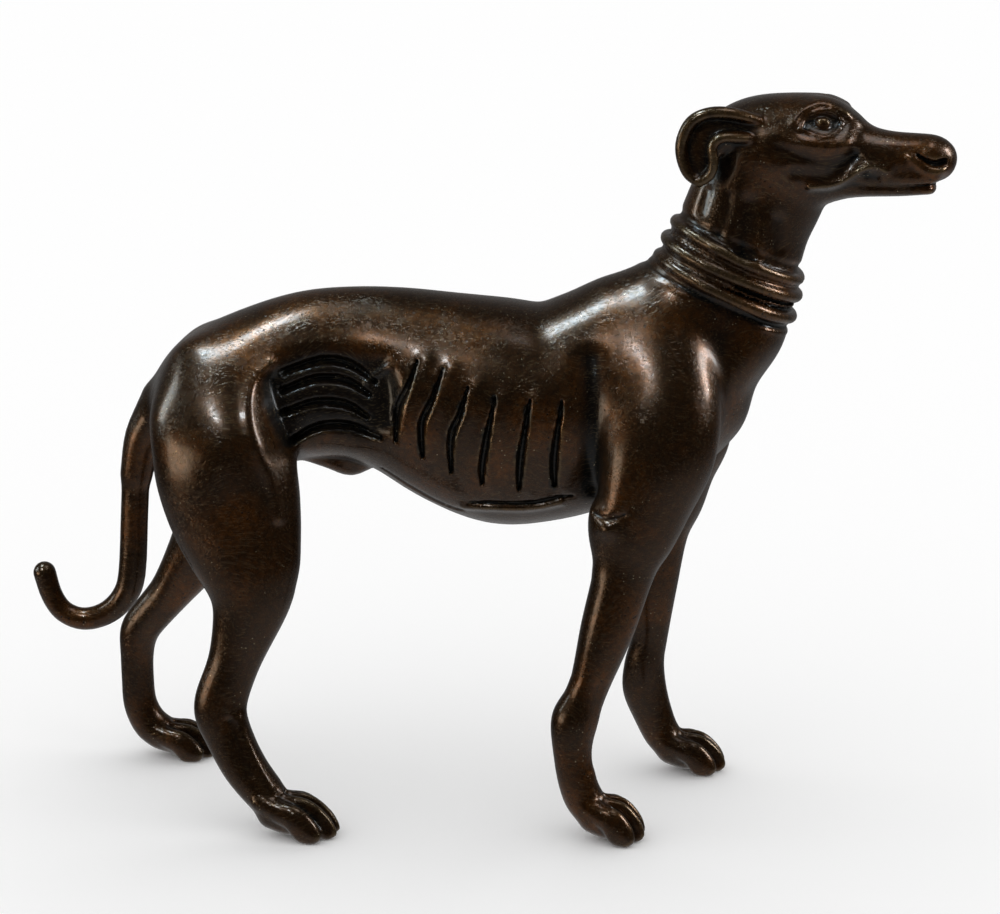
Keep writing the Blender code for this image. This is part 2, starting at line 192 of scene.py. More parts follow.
def press(clay, line, width, depth, side=0, split=0.0, soft=2.0, firm=2):
    # soft hollow along a line seen from the side; a negative depth raises a swelling instead,
    # and a higher firm gives a flatter floor with steeper walls
    widths = np.full(len(line), width) if np.isscalar(width) else np.asarray(width, float)
    shape = depth * np.exp(-(lineDistance(clay, line, widths) ** firm))
    clay.field += shape[:, None, :].astype(np.float32) * sideWeight(clay, side, split, soft)[None, :, None]


def score(clay, line, width, depth, side=0, split=0.0, soft=2.0):
    # cut with steep walls; it narrows towards its ends where the widths do
    widths = np.full(len(line), width) if np.isscalar(width) else np.asarray(width, float)
    away = np.minimum(lineDistance(clay, line, widths), 1)
    shape = depth * (1 - away**2)
    clay.field += shape[:, None, :].astype(np.float32) * sideWeight(clay, side, split, soft)[None, :, None]


def skinAt(clay, x, z, side):
    # where a line along y meets the skin from the given side
    i = int(np.clip(round((x - clay.axes[0][0]) / clay.grain), 0, len(clay.axes[0]) - 1))
    k = int(np.clip(round((z - clay.axes[2][0]) / clay.grain), 0, len(clay.axes[2]) - 1))
    column = clay.field[i, :, k]
    inside = np.nonzero(column < 0)[0]
    j = inside[0] if side < 0 else inside[-1]
    a, b = column[j], column[j + side]
    return float(clay.axes[1][j] + side * clay.grain * a / (a - b))


def onSkin(clay, line, side, sizes, lift=0.0):
    return [(x, skinAt(clay, x, z, side) + side * lift, z, *sizes) for x, z in line]


# Trunk, from the rump to the breast
trunk = {
    "blend": 2.5,
    "stations": [
        (-67.0, 0, 86.2, 6.0, 10.0, 9.5),
        (-60, 0, 88.2, 12.2, 14.0, 15.6),
        (-50, 0, 88.2, 17.7, 14.0, 17.2),
        (-40, 0, 88.2, 21.2, 13.4, 15.8),
        (-30, 0, 88.2, 22.3, 13.6, 14.6),
        (-20, 0, 88.2, 22.2, 16.9, 15.6),
        (-10, 0, 88.2, 21.3, 23.2, 17.2),
        (0, 0, 88.2, 20.4, 27.0, 18.6),
        (10, 0, 88.2, 19.3, 26.0, 19.0),
        (20, 0, 88.7, 22.2, 23.2, 18.4),
        (30, 0, 90.2, 24.7, 20.6, 16.8),
        (39, 0, 92.7, 20.8, 16.0, 12.5),
    ],
}
neck = {
    "blend": 4.5,
    "stations": [
        (30, 0, 97.2, 12.5, 13.0, 11.5),
        (37, 0, 104.7, 14.0, 16.2, 12.6),
        (43.3, 0, 111.5, 12.9, 15.0, 12.0),
        (47, 0, 118.2, 13.0, 14.0, 11.2),
        (49.4, 0, 125.2, 12.8, 13.4, 10.8),
        (51.2, 0, 131.2, 12.0, 14.2, 10.6),
        (53.5, 0, 137.2, 10.0, 14.0, 10.4),
    ],
}
breast = {
    "blend": 4.0,
    "stations": [
        (50, 0, 109.2, 8.9, 10, 9.5),
        (49.8, 0, 103.2, 8.6, 10, 11.0),
        (46.7, 0, 96.7, 7.4, 10, 12.0),
        (42.6, 0, 90.2, 6.0, 10, 11.0),
        (40, 0, 84.2, 5.4, 8, 9.0),
    ],
}
nearForeleg = {
    "blend": 4.5,
    "stations": [
        (33, -8, 104.2, 8.5, 10.0, 6.0),
        (34.5, -11.8, 96.2, 9.8, 12.0, 7.4),
        (35.5, -14.5, 88.2, 10.3, 13.0, 8.5),
        (34, -16, 80.2, 10.6, 13.0, 8.4),
        (31, -17, 72.2, 9.8, 11.1, 7.2),
        (28, -17.8, 64.2, 9.0, 9.2, 6.0),
        (26.5, -18.2, 57.2, 6.8, 6.3, 5.0),
        (23, -19, 44.2, 6.0, 5.4, 4.7),
        (19.2, -19.6, 31.2, 4.5, 4.0, 3.8),
        (17.2, -19.8, 25.2, 5.0, 5.2, 4.3),
        (16.8, -20, 18.4, 4.3, 4.4, 3.7),
        (17.6, -19.8, 11.8, 4.2, 4.1, 3.8),
        (19.2, -19.4, 7.2, 4.4, 4.0, 4.0),
        (21.6, -19.4, 4.6, 4.2, 3.4, 4.6),
    ],
}
farForeleg = {
    "blend": 4.5,
    "stations": [
        (32, 8, 104.2, 8.0, 9.5, 6.0),
        (33.5, 11.8, 96.2, 8.8, 11.5, 7.4),
        (35, 14.4, 86.2, 9.4, 12.0, 8.2),
        (36.8, 16, 78.2, 11.0, 12.0, 8.2),
        (35.4, 17.2, 70.2, 9.2, 9.8, 7.0),
        (34.2, 18.2, 62.2, 8.0, 7.6, 6.0),
        (32.9, 19, 55.2, 6.2, 6.2, 5.0),
        (31.2, 19.8, 42.2, 5.6, 5.6, 4.5),
        (30.8, 20.8, 30.2, 4.1, 4.1, 3.8),
        (30.1, 21.2, 25.2, 4.1, 4.7, 4.1),
        (30.1, 21.8, 18.7, 4.7, 5.4, 3.8),
        (31.4, 22.6, 12.8, 4.7, 4.4, 3.8),
        (33.6, 23.2, 7.2, 4.4, 3.8, 4.0),
        (36.2, 23.4, 4.6, 4.2, 3.4, 4.6),
    ],
}
nearHindleg = {
    "blend": 6.0,
    "stations": [
        (-61, -7.5, 94.2, 8.5, 6.0, 6.5),
        (-58.8, -12.2, 88.2, 13.8, 11.6, 7.6),
        (-57.4, -14.4, 82.2, 15.9, 13.1, 8.4),
        (-55.3, -15.7, 75.2, 15.0, 14.1, 8.8),
        (-53.8, -16.7, 68.2, 14.7, 13.5, 8.2),
        (-52, -17.8, 61.7, 13.4, 12.1, 7.4),
        (-50, -18.8, 55.2, 11.2, 10.2, 6.6),
        (-49.4, -19.4, 48.7, 8.3, 8.1, 5.6),
        (-53, -20.2, 36.2, 5.7, 5.5, 3.9),
        (-56.2, -21, 26.2, 5.8, 5.6, 3.5),
        (-54.6, -21.3, 20.0, 5.3, 5.0, 3.3),
        (-51.2, -21.9, 13.2, 5.0, 4.7, 3.4),
        (-47.2, -22.4, 7.8, 4.8, 4.0, 3.8),
        (-44.6, -22.6, 4.8, 4.2, 3.4, 4.6),
    ],
}
farHindleg = {
    "blend": 6.0,
    "stations": [
        (-61, 7.5, 94.2, 8.5, 6.0, 6.5),
        (-59, 12.2, 88.2, 13.3, 11.0, 7.6),
        (-59.8, 14.2, 81.2, 14.7, 11.9, 8.4),
        (-60, 15.4, 74.2, 14.2, 12.3, 8.6),
        (-60.5, 16.5, 67.2, 12.7, 11.7, 8.0),
        (-62.2, 17.8, 60.2, 10.9, 9.4, 7.4),
        (-65.2, 18.8, 52.7, 8.5, 7.6, 6.2),
        (-73.4, 20.4, 39.7, 5.2, 5.0, 4.4),
        (-78.2, 21, 33.7, 4.6, 4.6, 3.7),
        (-81.8, 21.6, 28.7, 4.3, 4.6, 3.5),
        (-82.7, 22, 23.2, 3.8, 3.9, 3.4),
        (-82.8, 22.4, 17.2, 3.7, 3.8, 3.4),
        (-82.4, 22.8, 11.0, 3.7, 4.0, 3.5),
        (-80.2, 23.2, 5.8, 4.2, 3.9, 3.8),
        (-77.0, 23.4, 4.0, 3.8, 3.4, 4.4),
    ],
}
# The head turns a little to the dog's right
skull = {
    "blend": 4.0,
    "stations": [
        (47, 0.5, 140.7, 7.3, 8.0, 8.0),
        (52, 0, 140.7, 9.7, 10.5, 11.0),
        (58, -1, 140.7, 10.5, 10.5, 11.3),
        (64, -2, 140.7, 10.2, 10.0, 10.0),
        (68.6, -3, 139.7, 7.5, 8.3, 7.9),
        (73, -3.7, 139.2, 6.0, 6.4, 6.8),
        (78, -4.7, 138.8, 5.5, 5.4, 5.7),
        (83, -5.5, 138.7, 5.4, 4.7, 5.3),
        (86.4, -6.0, 138.6, 5.3, 4.3, 4.9),
        (87.1, -6.2, 138.5, 4.5, 3.8, 4.3),
    ],
}


def modelBody(clay):
    for mass in (trunk, neck, breast, skull, nearForeleg, farForeleg, nearHindleg, farHindleg):
        addMass(clay, mass["stations"], mass["blend"])
    np.clip(clay.field, -clayBlock["trusted"], clayBlock["trusted"], out=clay.field)
    soften(clay.field, 1.2 / clay.grain)


jaw = {
    "blend": 1.4,
    "stations": [
        (59, -1.5, 132.6, 3.0, 5.2, 6.5),
        (66, -2.4, 133.2, 2.4, 3.7, 5.2),
        (72, -3.5, 132.9, 1.6, 2.0, 4.4),
        (80, -4.8, 132.9, 1.8, 1.5, 3.9),
        (86.0, -5.8, 133.1, 1.4, 1.1, 3.4),
    ],
}
# upper lips hang beside the muzzle's own middle line
lips = {
    "blend": 1.6,
    "spread": 3.5,
    "stations": [
        (70.5, -3.2, 135.9, 1.7, 1.6, 1.6),
        (77, -4.5, 135.5, 1.6, 1.3, 1.5),
        (83, -5.6, 135.6, 1.6, 1.3, 1.4),
        (86.2, -6.0, 136.2, 1.6, 1.5, 1.3),
    ],
}
tail = {
    "blend": 2.5,
    "rootBlend": 5.0,
    "path": [
        (-70.0, 0, 85.0, 5.0),
        (-74.6, 0, 78.2, 3.7),
        (-76.6, 0, 70.2, 3.0),
        (-77.3, 0, 62.2, 2.9),
        (-78.3, 0, 48.2, 2.9),
        (-80.2, 0, 42.9, 2.7),
        (-84, 0, 39.2, 2.5),
        (-89, 0, 37.7, 2.4),
        (-93.3, 0, 39.2, 2.3),
        (-95.8, 0, 42.8, 2.3),
        (-97.2, 0, 47.8, 2.4),
    ],
}
sheath = {
    "blend": 1.5,
    "stations": [
        (-41, 0, 76.4, 2.2, 2.5, 2.5),
        (-35.5, 0, 75.2, 2.5, 3.2, 3.0),
        (-31, 0, 74.8, 2.5, 4.2, 3.4),
        (-26, 0, 75.6, 2.5, 2.5, 2.6),
    ],
}
paws = {
    "blend": 0.3,
    "padBlend": 2.0,
    "toeRadius": 2.3,
    "toeSpacing": 3.0,
    "cleft": 0.85,
    # where each leg ends, where its two middle toes touch down, and the paw's height
    "places": [
        ((19.6, -19.4, 7.6), (30.6, -19.4), 9.8),
        ((34.0, 23.4, 7.4), (46.8, 24.4), 9.2),
        ((-47.4, -22.6, 7.6), (-32.4, -23.4), 9.6),
        ((-79.6, 23.4, 5.6), (-66.4, 23.6), 7.6),
    ],
    # lane across the paw, reach and rise of each toe
    "toes": [(-1.5, 0.82, 0.90), (-0.5, 1.0, 1.0), (0.5, 1.0, 1.0), (1.5, 0.84, 0.90)],
}


def modelPaw(clay, heel, touch, tall):
    heel = np.array(heel)
    forward = np.array([touch[0], touch[1], heel[2]]) - heel
    length = np.linalg.norm(forward)
    forward /= length
    across = np.array([-forward[1], forward[0], 0.0])
    r = paws["toeRadius"]

    def spot(reach, lane, height):
        place = heel + forward * reach * length + across * lane * paws["toeSpacing"]
        return place[0], place[1], height + floor

    pad = [
        (*spot(0.14, 0, 4.4), 3.4, 3.0, 3.5),
        (*spot(0.4, 0, 3.2), 2.9, 3.0, 3.9),
        (*spot(0.7, 0, 2.4), 1.8, 2.2, 4.4),
    ]
    addMass(clay, pad, paws["padBlend"], tuple(across))
    for lane, reach, rise in paws["toes"]:
        knuckle = tall * rise
        toe = [
            (*spot(0, lane * 0.45, tall * 0.82), r, r, r * 0.9),
            (*spot(0.35 * reach, lane * 0.75, knuckle * 0.72), r, r * 1.1, r * 0.8),
            (*spot(0.62 * reach, lane * 0.95, knuckle * 0.62), r * 1.1, r * 1.3, r * 0.76),
            (*spot(0.84 * reach, lane, knuckle * 0.34), r * 1.05, r * 1.45, r * 0.74),
            (*spot(0.95 * reach, lane, 1.7), r * 0.75, r * 0.95, r * 0.66),
        ]
        claw = [
            (*spot(0.93 * reach, lane, 3.2), 1.0, 0.9, 0.75),
            (*spot(1.0 * reach, lane, 2.2), 0.85, 0.8, 0.65),
            (*spot(1.04 * reach, lane, 1.0), 0.55, 0.5, 0.45),
        ]
        addMass(clay, toe, paws["blend"], tuple(across))
        addMass(clay, claw, 0.2, tuple(across))
    for lane in (-1, 0, 1):
        r = paws["cleft"]
        cleft = [
            (*spot(0.26, lane * 0.75, tall * 0.98), r * 0.4, r * 0.6, r * 0.4),
            (*spot(0.48, lane * 0.9, tall * 0.90), r * 0.8, r * 1.3, r * 0.6),
            (*spot(0.70, lane, tall * 0.74), r, r * 2.0, r * 0.75),
            (*spot(0.92, lane, tall * 0.42), r, r * 2.0, r * 0.8),
            (*spot(1.06, lane, tall * 0.14), r, r * 2.0, r * 0.8),
        ]
        cutMass(clay, cleft, 0.4, tuple(across))


ears = {
    "rim": [
        (52, 8.9, 146.3, 0.6, 1.2, 1.3),
        (47, 10.6, 147.8, 1.0, 1.4, 1.6),
        (42.4, 11.0, 148.0, 1.05, 1.4, 1.5),
        (38.8, 10.8, 146.3, 1.1, 1.4, 1.5),
        (37.0, 10.5, 142.6, 1.1, 1.4, 1.5),
        (37.0, 10.2, 139.2, 1.1, 1.3, 1.5),
        (38.2, 10.2, 136.2, 1.1, 1.25, 1.5),
        (40.2, 10.6, 134.6, 1.0, 1.2, 1.4),
    ],
    "fold": [
        (52.5, 9.0, 142.8, 0.7, 1.0, 1.1),
        (48, 11, 143.4, 1.1, 1.1, 1.6),
        (44.4, 12.0, 143.4, 1.1, 1.1, 1.6),
        (42.9, 12.2, 141.6, 1.0, 1.1, 1.4),
        (43.2, 12.0, 138.6, 1.0, 1.1, 1.4),
        (42.5, 11.6, 135.9, 1.0, 1.1, 1.3),
        (40.4, 11, 134.4, 1.0, 1.0, 1.3),
    ],
    "web": [
        (54, 7.6, 144.0, 3.4, 3.0, 2.0),
        (46.5, 8.8, 144.6, 3.9, 3.6, 1.7),
        (41.8, 9.0, 142.6, 4.2, 4.2, 1.5),
        (40.2, 9.2, 138.2, 3.4, 3.4, 1.4),
        (40.6, 9.6, 135.8, 2.0, 2.0, 1.3),
    ],
    "farShift": (5.5, 0.5, -3.0),  # the turned head brings the far ear forward and lower
}


def modelEars(clay):
    for side in (-1, 1):
        for strip, blend in (("web", 0.8), ("rim", 0.5), ("fold", 0.5)):
            dx, dy, dz = ears["farShift"] if side > 0 else (0, 0, 0)
            addMass(clay, [(x + dx, side * (y + dy), z + dz, *rest) for x, y, z, *rest in ears[strip]], blend)


collar = {
    "wire": 2.5,
    "fillet": 0.9,
    "thread": 0.7,
    "widthToLength": 0.88,
    # back end and front end of each ring, as x and z
    "rings": [((35.1, 125.2), (61.2, 113.5)), ((33.1, 122), (60.8, 110)), ((31.8, 118.4), (59.9, 105.8))],
    "lift": (0.41, 0.91),  # direction up the neck, across the rings
    # shallow channel that the rings are bedded in: the ring it follows, shift up the neck, half width, depth
    "channels": [(1, 0, 5.6, 0.6), (0, 2.4, 0.8, 0.4), (2, -2.4, 0.8, 0.4)],
    # the wire was rolled by hand: waves round the neck, start of the wave, share of the thickness
    "uneven": [(3, 2, 0.06), (7, 1, 0.04)],
    "drift": 0.12,
}


def hoopDistance(clay, backEnd, frontEnd, wire):
    # distance to a round wire closed on an oval that lies on a slope
    back, front = np.array(backEnd), np.array(frontEnd)
    middle = (back + front) / 2
    slope = (front - back) / np.linalg.norm(front - back)
    length = np.linalg.norm(front - back) / 2 - wire / 4
    width = length * collar["widthToLength"]
    reach = length + wire + clayBlock["trusted"]
    centre = np.array([middle[0], 0, middle[1]])
    window = clay.window(centre - reach, centre + reach)
    x, y, z = clay.coordinates(window)
    u = (x - middle[0]) * slope[0] + (z - middle[1]) * slope[1]
    v = (z - middle[1]) * slope[0] - (x - middle[0]) * slope[1]
    q = np.sqrt((u / length) ** 2 + (y / width) ** 2)
    steep = np.sqrt((u / length**2) ** 2 + (y / width**2) ** 2)
    away = (q - 1) * q / np.maximum(steep, 1e-6)
    turn = np.arctan2(y / width, u / length)
    return window, away, v, turn


def modelCollar(clay):
    rings = np.array(collar["rings"])
    lift = np.array(collar["lift"])
    for ring, offset, half, deep in collar["channels"]:
        window, away, v, turn = hoopDistance(clay, *(rings[ring] + lift * offset), 0)
        channel = np.sqrt((v / half) ** 2 + (np.maximum(away - 1, 0) / 3) ** 2)
        clay.field[window] += (deep * np.maximum(1 - channel**2, 0)).astype(np.float32)
    for index, (backEnd, frontEnd) in enumerate(rings):
        window, away, v, turn = hoopDistance(clay, backEnd, frontEnd, collar["wire"])
        uneven = sum(share * np.sin(waves * turn + index * start) for waves, start, share in collar["uneven"])
        thick = collar["wire"] / 2 * (1 + uneven)
        drift = collar["drift"] * np.sin(2 * turn + index * 3)
        distance = np.sqrt(away**2 + (v - drift) ** 2) - thick
        clay.field[window] = smoothMin(clay.field[window], distance.astype(np.float32), 0.3)
    # thin wires sunk between the rings, and a thread below them
    for ends, wire, out in (
        ((rings[0] + rings[1]) / 2, collar["fillet"], -0.65),
        ((rings[1] + rings[2]) / 2, collar["fillet"], -0.65),
        (rings[2] - lift * 3.1, collar["thread"], 0.25),
    ):
        window, away, v, turn = hoopDistance(clay, *ends, wire)
        distance = np.sqrt((away - out) ** 2 + v**2) - wire / 2
        clay.field[window] = smoothMin(clay.field[window], distance.astype(np.float32), 0.3)


def modelDetails(clay):
    addMass(clay, jaw["stations"], jaw["blend"])
    for side in (-1, 1):
        stations = [(x, y + side * lips["spread"], *rest) for x, y, *rest in lips["stations"]]
        addMass(clay, stations, lips["blend"])
    addMass(clay, sheath["stations"], sheath["blend"])
    whole = [(x, y, z, r, r, r) for x, y, z, r in tail["path"]]
    addMass(clay, whole[:3], tail["rootBlend"])
    addMass(clay, whole, tail["blend"])
    for heel, touch, tall in paws["places"]:
        modelPaw(clay, heel, touch, tall)
    modelEars(clay)
    modelCollar(clay)


# Carving of the flanks, as x and z over the skin, the same on both sides
flanks = {
    "ribs": [
        [(-15.3, 98.5), (-17.4, 92.8), (-19.4, 88.2), (-20.0, 81.5)],
        [(-10.1, 97.0), (-12.4, 90.4), (-14.4, 85.7), (-14.5, 78.5)],
        [(-4.9, 93.8), (-6.6, 87.9), (-8.4, 83.3), (-8.7, 75.5)],
        [(0.6, 91.9), (-0.9, 84.5), (-2.1, 77.7), (-2.4, 73.3)],
        [(7.6, 91.8), (6.6, 85.1), (5.6, 78.4), (5.1, 72.2)],
        [(14.1, 91.7), (13.1, 84.8), (12.4, 78.1), (12.4, 73.2)],
    ],
    "ribWidths": (0.2, 0.75, 0.9, 0.45),
    "ribDepth": 1.4,
    "folds": [
        [(-42.9, 95.2), (-35.2, 97.4), (-29.2, 96.5), (-24.2, 93.3)],
        [(-43.2, 91.4), (-36.3, 93.7), (-30.2, 93.2), (-25.5, 90.6)],
        [(-42.8, 87.0), (-36.4, 88.9), (-30.3, 88.4), (-26.0, 86.1)],
        [(-41.1, 81.2), (-36.0, 83.8), (-29.9, 84.0), (-23.3, 81.9)],
    ],
    "foldWidths": (0.9, 1.15, 1.15, 0.6),
    "foldDepth": 1.4,
    "thighMuscle": [(-51.5, 83)],
    "pocket": [(-38, 90.5), (-34, 91), (-28, 90)],
    "rim": [(-45.0, 97.6), (-48.4, 92.4), (-47.5, 85.7), (-45.4, 79.6), (-43.5, 73.5), (-42.6, 67.2)],
    "rimWidths": (0.9, 1.6, 1.8, 1.8, 1.6, 1.2),
    "insideRim": [(-45.2, 93.5), (-43.8, 87), (-42.4, 81)],
    # hollow before the folds, the ridge over it and the hollow behind the shoulder: line, width, depth
    "hollows": [
        ([(-22.4, 97.5), (-21.2, 92), (-20.8, 86)], 2.0, 0.7),
        ([(-25.8, 93.6), (-21.2, 96.8)], 0.7, -0.6),
        ([(19.6, 99), (20.1, 89), (19.9, 80), (20.2, 73)], 2.6, 1.3),
    ],
    "breastbone": [(-5.7, 68.2), (-0.7, 68.6), (7.4, 68.8), (12.5, 70.1), (16.5, 70.8)],
    "breastboneWidths": (0.2, 0.6, 0.7, 0.6, 0.2),
    "ledge": [(-6.7, 67.0), (-0.7, 67.2), (7.4, 67.4), (13.5, 68.8)],
    "bellyLine": [(-23.8, 74.6), (-16.6, 69.9), (-10.5, 66.7), (-6.5, 65.8)],
    "bellyLineWidths": (0.2, 0.5, 0.5, 0.2),
    "elbow": [(23.2, 66.4)],
    "elbowCrease": [(20.6, 69.0), (23.6, 68.4), (27.0, 69.6)],
    # behind the foreleg and along the hind foot: line, width, depth
    "tendons": [
        ([(20.6, 54.4), (18.2, 43.5), (16.8, 34.6)], 1.2, 0.2),
        ([(21.8, 33), (20.8, 24), (20.2, 15)], 0.9, 0.3),
        ([(-51.6, 24.5), (-49.6, 19), (-47.2, 14), (-45.0, 10.5)], 0.8, -0.45),
        ([(-53.6, 24.0), (-51.6, 18), (-49.4, 13)], 0.9, 0.35),
    ],
}


def carveFlanks(clay):
    for side in (-1, 1):
        press(clay, flanks["thighMuscle"], 9, -1.5, side, 6, 4)
        press(clay, flanks["pocket"], 8.8, 1.9, side, firm=5)
        press(clay, flanks["rim"], flanks["rimWidths"], -0.8, side, 8, 3)
        press(clay, flanks["insideRim"], 2.0, 1.4, side, 6, 3)
        for line, width, depth in flanks["hollows"]:
            press(clay, line, width, depth, side)
        for fold in flanks["folds"]:
            score(clay, fold, flanks["foldWidths"], flanks["foldDepth"], side)
        for rib in flanks["ribs"]:
            press(clay, [(x + 1.6, z) for x, z in rib], 1.5, -0.35, side)  # the rib itself, beside its groove
            score(clay, rib, flanks["ribWidths"], flanks["ribDepth"], side)
        score(clay, flanks["breastbone"], flanks["breastboneWidths"], 0.65, side)
        press(clay, flanks["ledge"], 0.8, -0.65, side)
        score(clay, flanks["bellyLine"], flanks["bellyLineWidths"], 0.35, side)
        press(clay, flanks["elbow"], 2.0, -0.9, side, 14)
        score(clay, flanks["elbowCrease"], (0.4, 0.9, 0.4), 0.4, side, 14)
    for line, width, depth in flanks["tendons"]:
        press(clay, line, width, depth, -1, -12)


# Carving of the head, for a near and a far side that part at the head's own middle
face = {
    "middle": -2.5,
    "eye": (64.3, 145.9),
    "ball": 1.35,
    "upperLid": [
        (59.8, 145.2), (60.9, 147.0), (62.3, 148.0), (64.2, 148.5),
        (65.9, 148.4), (67.2, 147.5), (68.2, 146.2),
    ],
    "lowerLid": [(59.8, 145.2), (62.2, 144.3), (64.7, 143.7), (66.8, 144.4), (68.2, 146.0)],
    "socket": [(61.4, 146.0), (64.3, 146.2), (66.9, 146.0)],
    "brow": [(58.8, 146.6), (60.8, 148.8), (63.7, 150.1), (66.7, 149.9), (69.2, 148.2)],
    "browEnd": [(65.8, 149.2), (68.6, 148.0), (71.4, 146.4)],
    "farBrow": [(66.2, 149.0), (69.4, 148.6)],
    "underEye": [(56, 141.2), (61, 139.7), (64, 139.0), (67.5, 139.3), (70.4, 140.2)],
    "underCheek": [(59, 136.6), (65, 136.4), (69, 138.2), (71.0, 139.6)],
    "cheekBone": [(60, 142.6), (65, 141.9), (68.8, 142.2)],
    "stop": [(70.4, 146.8), (71.6, 144.0)],
    "lip": [(62.2, 133.6), (66.1, 133.9), (69.1, 135.1), (71.5, 137.0), (74.6, 138.0), (76.8, 137.0)],
    "lipCorner": [(73.2, 135.8), (75.0, 135.3)],
    "slit": [(70.4, 133.9), (75, 133.8), (81, 133.8), (86.9, 134.0)],
    "wing": [(81.6, 139.8), (83.4, 137.9), (86.0, 137.0), (88.0, 137.2)],
    "noseTip": [(85.6, 141.4)],
    "nostril": [(82.8, 140.4), (84.6, 139.2), (86.6, 138.6), (88.2, 139.0)],
}


def carveFace(clay):
    middle = face["middle"]
    nose = middle - 2  # the muzzle's own middle lies further to the right
    for side in (-1, 1):
        press(clay, face["socket"], 2.1, 1.3, side, middle)
        press(clay, face["brow"], 1.0, -0.5, side, middle)
        press(clay, face["browEnd"], 0.9, -0.35, side, middle)
        press(clay, face["underEye"], 1.7, 0.8, side, middle)
        press(clay, face["underCheek"], 1.4, 0.7, side, middle)
        press(clay, face["cheekBone"], 1.4, -0.5, side, middle)
        press(clay, face["stop"], 1.8, 0.25, side, middle)
        press(clay, face["lip"], 0.8, -0.85, side, middle)
        press(clay, face["lipCorner"], 0.8, 0.6, side, middle)
        score(clay, face["slit"], (0.15, 0.2, 0.2, 0.15), 0.15, side, nose)
        press(clay, face["wing"], 0.7, -0.5, side, nose)
        press(clay, face["noseTip"], 1.5, -0.4, side, nose)
        score(clay, face["nostril"], (0.25, 0.5, 0.85, 0.9), 1.2, side, nose - 1, 3)
    for side in (-1, 1):
        x, z = face["eye"]
        y = skinAt(clay, x, z, side) - side * 0.3
        ball = [face["ball"]] * 3
        addMass(clay, [(x - 0.2, y, z, *ball), (x + 0.2, y, z, *ball)], 0.1, steps=1)
        addMass(clay, onSkin(clay, face["upperLid"], side, (0.42, 0.42, 0.5), 0.1), 0.3)
        addMass(clay, onSkin(clay, face["lowerLid"], side, (0.3, 0.3, 0.4)), 0.3)
        score(clay, [(x + 0.2, z + 0.1)], 0.55, 0.5, side, middle)  # pupil
    press(clay, face["farBrow"], 2.0, -1.1, 1, 1)  # the far brow shows over the near one


# Sinews of the neck and hollows between them: line, width, depth
neckSinews = [
    ([(46.4, 131.5), (46.0, 128.2), (44.6, 124.1)], 1.2, 0.5),
    ([(50.2, 130), (49.6, 125), (49.4, 121)], 2.2, 0.8),
    ([(53.4, 126.4), (53, 122.9), (52.8, 119.6)], 1.0, -0.5),
    ([(56, 126.4), (56, 121)], 1.6, 0.6),
    ([(42.2, 132.2), (41.2, 128.1)], 1.0, 0.4),
]


def carveNeck(clay):
    for side in (-1, 1):
        for line, width, depth in neckSinews:
            press(clay, line, width, depth, side)


def standOnFloor(clay):
    z = clay.axes[2][None, None, :]
    np.maximum(clay.field, floor - z, out=clay.field)


def castSurface(clay):
    # one point in each cell that the skin crosses, one face on each grid edge that it crosses
    field = clay.field
    inside = field < 0
    corners = np.zeros([n - 1 for n in field.shape], np.int8)
    for i in (0, 1):
        for j in (0, 1):
            for k in (0, 1):
                corners += inside[i : i - 1 or None, j : j - 1 or None, k : k - 1 or None]
    cells = np.argwhere((corners > 0) & (corners < 8))
    number = np.full(corners.shape, -1, np.int32)
    number[tuple(cells.T)] = np.arange(len(cells))
    points = np.zeros((len(cells), 3))
    crossings = np.zeros(len(cells))
    for axis in range(3):
        others = [k for k in range(3) if k != axis]
        for a in (0, 1):
            for b in (0, 1):
                start = cells.copy()
                start[:, others[0]] += a
                start[:, others[1]] += b
                end = start.copy()
                end[:, axis] += 1
                f0, f1 = field[tuple(start.T)], field[tuple(end.T)]
                crossed = (f0 < 0) != (f1 < 0)
                t = np.where(crossed, f0 / np.where(crossed, f0 - f1, 1), 0)
                place = start + t[:, None] * (end - start)
                points += np.where(crossed[:, None], place, 0)
                crossings += crossed
    points = points / crossings[:, None] * clay.grain + np.array([axis[0] for axis in clay.axes])
    faces = []
    for axis, (u, v) in enumerate(((1, 2), (2, 0), (0, 1))):
        low = [slice(1, -1)] * 3
        high = [slice(1, -1)] * 3
        low[axis], high[axis] = slice(0, -1), slice(1, None)
        first, second = inside[tuple(low)], inside[tuple(high)]
        edges = np.argwhere(first != second)
        outward = first[tuple(edges.T)]
        edges += [0 if k == axis else 1 for k in range(3)]
        quad = []
        for du, dv in ((1, 1), (0, 1), (0, 0), (1, 0)):
            cell = edges.copy()
            cell[:, u] -= du
            cell[:, v] -= dv
            quad.append(number[tuple(cell.T)])
        quad = np.stack(quad, 1)
        faces.append(np.where(outward[:, None], quad, quad[:, ::-1]))
    return points, np.vstack(faces)


def valueAt(clay, values, step, points):
    # blend of the eight grid values around each point
    place = (points - np.array([axis[0] for axis in clay.axes])) / step
    low = np.clip(np.floor(place).astype(int), 0, np.array(values.shape) - 2)
    part = np.clip(place - low, 0, 1)
    total = np.zeros(len(points))
    for i in (0, 1):
        for j in (0, 1):
            for k in (0, 1):
                share = np.abs(1 - i - part[:, 0]) * np.abs(1 - j - part[:, 1]) * np.abs(1 - k - part[:, 2])
                total += share * values[low[:, 0] + i, low[:, 1] + j, low[:, 2] + k]
    return total


def relief(clay, points, size):
    # how far the skin stands proud of its surroundings over the given size in mm; negative in a hollow
    stride = max(1, int(size / 1.2 / clay.grain))
    coarse = np.clip(clay.field[::stride, ::stride, ::stride], -2 * size, 2 * size).copy()
    step = clay.grain * stride
    smooth = soften(coarse.copy(), size / step)
    return valueAt(clay, smooth - coarse, step, points) / size


